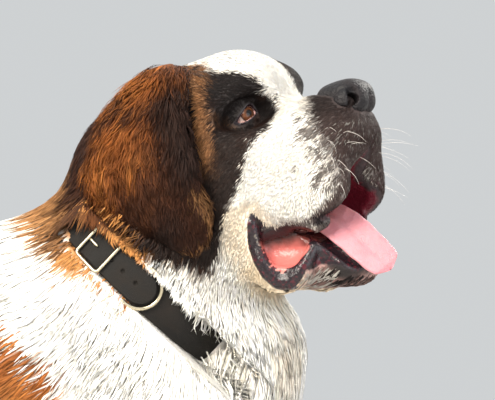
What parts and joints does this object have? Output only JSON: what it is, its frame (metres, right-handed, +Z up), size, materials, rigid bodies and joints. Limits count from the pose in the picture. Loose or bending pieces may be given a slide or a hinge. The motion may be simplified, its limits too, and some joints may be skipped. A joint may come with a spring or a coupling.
{
  "type": "saint bernard dog",
  "caption": "Standing long-haired Saint Bernard at life size, head raised and turned to its right, mouth open with the tongue out, in a wide buckled leather collar.",
  "frame": {"origin": "on the floor, below the middle of the bounding box", "axes": "+X forward from tail to nose, +Y to the dog's left, +Z up"},
  "size_m": [1.1006, 0.3839, 0.9704],
  "materials": {
    "coat_white": "matte, white long hair",
    "coat_red": "matte, rust-red long hair",
    "coat_dark": "matte, dark brown to black hair",
    "nose_leather": "moist, pebbled",
    "tongue": "moist",
    "mouth_lining": "moist",
    "tooth": "smooth",
    "eye": "glossy",
    "claw": "satin horn",
    "whisker": "satin",
    "collar_leather": "worn, satin",
    "collar_metal": "polished"
  },
  "bodies": {
    "root": {"head": "coat_white", "jaw": "coat_white", "neck": "coat_white", "trunk": "coat_red", "tail": "coat_red", "ear_left": "coat_dark", "ear_right": "coat_dark", "foreleg_left": "coat_white", "foreleg_right": "coat_white", "forepaw_left": "coat_white", "forepaw_right": "coat_white", "hindleg_left": "coat_white", "hindleg_right": "coat_white", "hindpaw_left": "coat_white", "hindpaw_right": "coat_white", "eye_left": "eye", "eye_right": "eye", "nose": "nose_leather", "tongue": "tongue", "claw_fore_left_1": "claw", "claw_fore_left_2": "claw", "claw_fore_left_3": "claw", "claw_fore_left_4": "claw", "claw_fore_right_1": "claw", "claw_fore_right_2": "claw", "claw_fore_right_3": "claw", "claw_fore_right_4": "claw", "claw_hind_left_1": "claw", "claw_hind_left_2": "claw", "claw_hind_left_3": "claw", "claw_hind_left_4": "claw", "claw_hind_right_1": "claw", "claw_hind_right_2": "claw", "claw_hind_right_3": "claw", "claw_hind_right_4": "claw", "collar_band": "collar_leather", "collar_strap_end": "collar_leather", "buckle_frame": "collar_metal", "buckle_pin": "collar_metal", "collar_ring": "collar_metal"}
  },
  "joints": []
}
